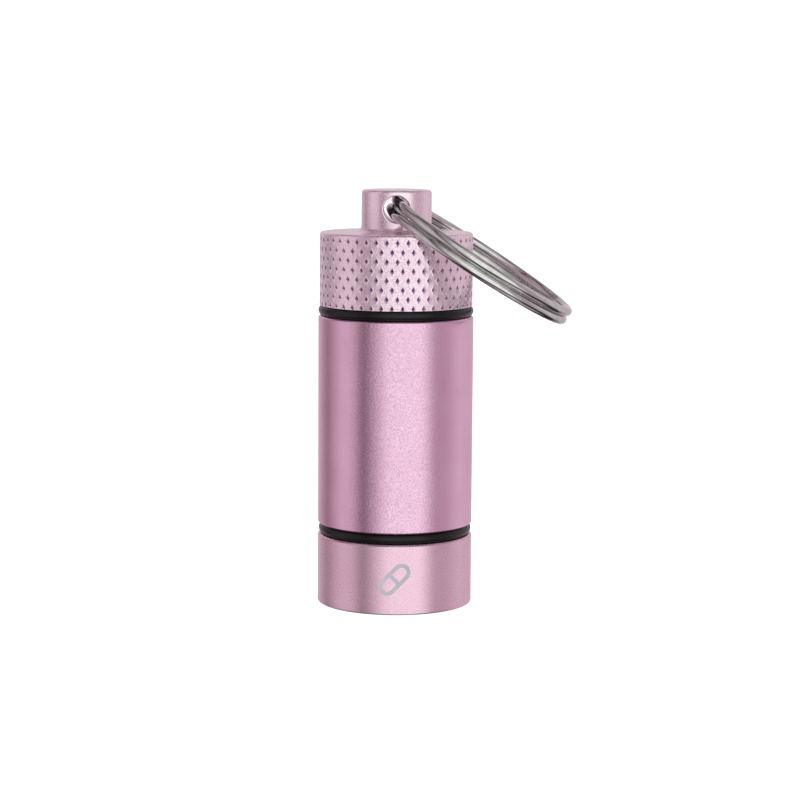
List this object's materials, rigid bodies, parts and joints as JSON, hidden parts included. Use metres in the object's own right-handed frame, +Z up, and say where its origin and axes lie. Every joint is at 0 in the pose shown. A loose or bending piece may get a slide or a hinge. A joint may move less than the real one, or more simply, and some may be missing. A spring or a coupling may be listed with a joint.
{
  "type": "pill splitter",
  "caption": "Pocket pill splitter on a split ring: knurled screw cap over a tablet tube, and a screw-on base that lifts a tablet in a V cradle onto a fixed blade.",
  "frame": {"origin": "centre of the base cup's flat underside", "axes": "+Z up the tube's axis, from the base cup to the lug; the lug's cross hole runs along Y, and the key ring droops towards +X"},
  "size_m": [0.0326, 0.0274, 0.0534],
  "materials": {
    "anodised_cap": "rose-pink anodised, fine bead-blasted satin, diamond knurled",
    "anodised_body": "rose-pink anodised, fine bead-blasted satin",
    "plated_steel": "bright nickel plate",
    "black_rubber": "smooth moulded",
    "acetal": "fine moulded",
    "silicone": "translucent grey, soft",
    "stainless_blade": "ground, fine lines along the edge",
    "stainless_hardware": "bright turned",
    "ptfe": "waxy white"
  },
  "bodies": {
    "body": {"body_tube": "anodised_body", "base_o_ring": "black_rubber", "blade_holder": "acetal", "cutting_blade": "stainless_blade", "blade_pin_left": "stainless_hardware", "blade_pin_right": "stainless_hardware", "holder_screw_front": "stainless_hardware", "holder_screw_rear": "stainless_hardware"},
    "cap_seal": {"cap_o_ring": "black_rubber"},
    "cap": {"knurled_cap": "anodised_cap"},
    "ring": {"key_ring": "plated_steel"},
    "cradle": {"pill_cradle": "acetal", "grip_pad_front": "silicone", "grip_pad_rear": "silicone"},
    "base": {"base_cup": "anodised_body", "cradle_clip": "stainless_hardware", "thrust_washer": "ptfe"}
  },
  "joints": [
    {"name": "cap_turn", "type": "hinge", "parent": "body", "child": "cap_seal", "pos_m": [0, 0, 0.0386], "axis": [0, 0, 1], "range_deg": [0, 1800]},
    {"name": "cap_lift", "type": "slide", "parent": "cap_seal", "child": "cap", "axis": [0, 0, 1], "range_m": [0, 0.00625]},
    {"name": "ring_swing", "type": "hinge", "parent": "cap", "child": "ring", "pos_m": [0, 0, 0.05105], "axis": [0, -1, 0], "range_deg": [0, 236]},
    {"name": "base_drop", "type": "slide", "parent": "body", "child": "cradle", "axis": [0, 0, -1], "range_m": [0, 0.00625]},
    {"name": "base_turn", "type": "hinge", "parent": "cradle", "child": "base", "pos_m": [0, 0, 0.009], "axis": [0, 0, -1], "range_deg": [0, 1800]}
  ],
  "couplings": [
    {"joint": "cap_lift", "follows": "cap_turn", "m_per_rad": 0.00019894},
    {"joint": "base_drop", "follows": "base_turn", "m_per_rad": 0.00019894}
  ]
}
